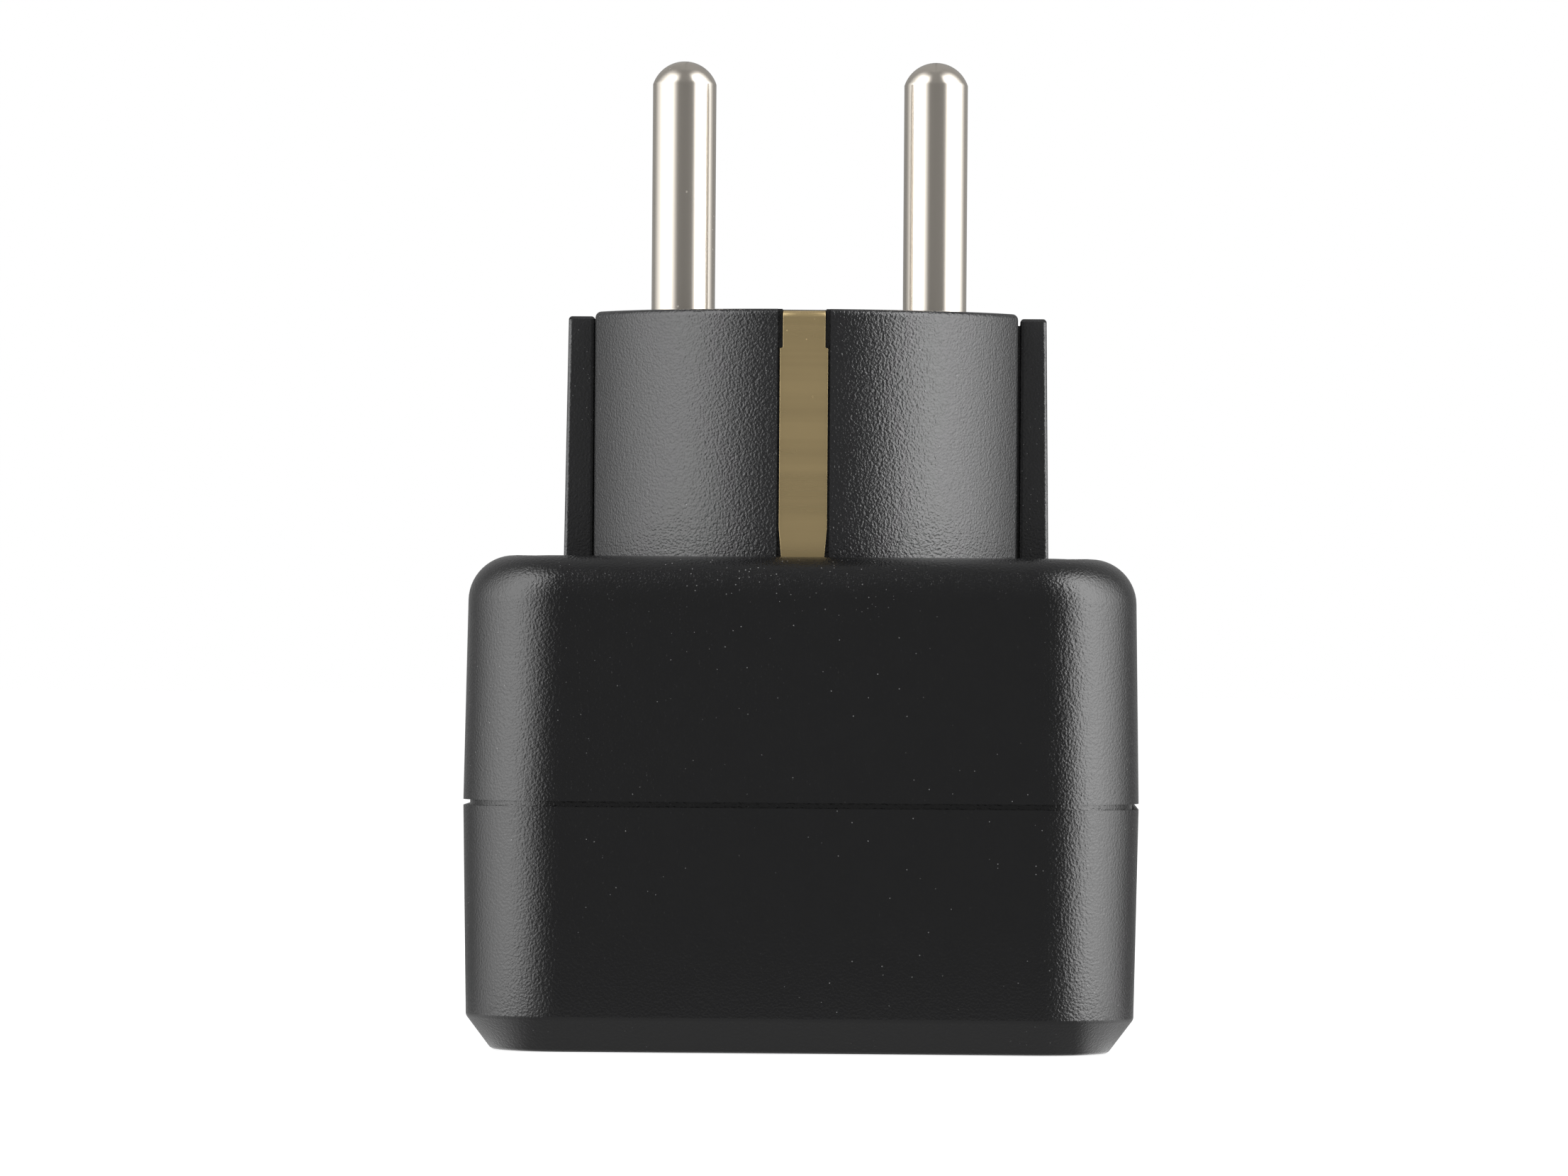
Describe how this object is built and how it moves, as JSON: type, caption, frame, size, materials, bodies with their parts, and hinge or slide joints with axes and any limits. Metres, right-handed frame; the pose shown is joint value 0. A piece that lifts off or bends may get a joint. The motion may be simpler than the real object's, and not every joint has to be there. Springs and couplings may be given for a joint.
{
  "type": "travel plug adapter",
  "caption": "Travel plug adapter: recessed earthed round-pin plug, shuttered socket face and charging ports in a two-part square housing.",
  "frame": {"origin": "middle of the socket face's lowest plane, on which the adapter stands", "axes": "+Z along the plug pins, from the socket face to the pin tips; +X along the line of the two pins; the charging ports face +Y and the side that the picture shows faces -Y"},
  "size_m": [0.0498, 0.05, 0.074],
  "materials": {
    "shell_plastic": "black moulded plastic, fine spark-eroded texture",
    "plug_plastic": "black moulded plastic, coarser orange-peel texture",
    "plate_plastic": "black moulded plastic, satin",
    "shutter_plastic": "black moulded plastic, smooth",
    "inner_plastic": "off-white moulded plastic",
    "screw_steel": "zinc-plated steel",
    "pin_nickel": "nickel-plated brass, drawn",
    "strip_brass": "bare brass strip, rolled and slightly dull",
    "inner_brass": "stamped brass",
    "spring_steel": "bright spring wire",
    "board_laminate": "green laminate",
    "ferrite": "sintered ferrite",
    "winding_tape": "yellow winding tape",
    "capacitor_sleeve": "shrunk dark sleeve",
    "chip_epoxy": "moulded epoxy",
    "fuse_ceramic": "lacquered body",
    "disc_ceramic": "lacquered disc",
    "lead_sleeve": "insulated lead",
    "port_steel": "nickel-plated steel sheet",
    "port_plastic": "white moulded plastic",
    "contact_gold": "gilt contact"
  },
  "bodies": {
    "housing": {"bridge_rectifier": "chip_epoxy", "bulk_capacitor": "capacitor_sleeve", "case_screws": "screw_steel", "charger_board": "board_laminate", "contact_cover": "inner_plastic", "control_chip": "chip_epoxy", "disc_capacitor": "disc_ceramic", "earth_bridge": "inner_brass", "earth_busbar": "inner_brass", "earth_contact": "inner_brass", "earth_sleeve": "inner_brass", "earth_strip_back": "strip_brass", "earth_strip_front": "strip_brass", "filter_choke": "ferrite", "fuse": "fuse_ceramic", "live_busbar": "inner_brass", "live_contact": "inner_brass", "live_lead": "lead_sleeve", "live_pin": "pin_nickel", "lower_shell": "shell_plastic", "neutral_busbar": "inner_brass", "neutral_contact": "inner_brass", "neutral_lead": "lead_sleeve", "neutral_pin": "pin_nickel", "output_capacitor_left": "capacitor_sleeve", "output_capacitor_right": "capacitor_sleeve", "output_diode": "chip_epoxy", "pin_carrier": "plug_plastic", "plug_body": "plug_plastic", "port_fingers_left": "contact_gold", "port_fingers_right": "contact_gold", "port_shell_left": "port_steel", "port_shell_right": "port_steel", "port_tongue_left": "port_plastic", "port_tongue_right": "port_plastic", "shutter_spring": "spring_steel", "socket_plate": "plate_plastic", "transformer_bobbin": "inner_plastic", "transformer_core": "ferrite", "transformer_winding": "winding_tape", "upper_shell": "shell_plastic"},
    "shutter": {"shutter": "shutter_plastic"}
  },
  "joints": [
    {"name": "shutter_slide", "type": "slide", "parent": "housing", "child": "shutter", "axis": [0, 1, 0], "range_m": [0, 0.0088], "stiffness_N_per_m": 150, "springref_m": -0.004, "deforming": ["shutter_spring"]}
  ]
}
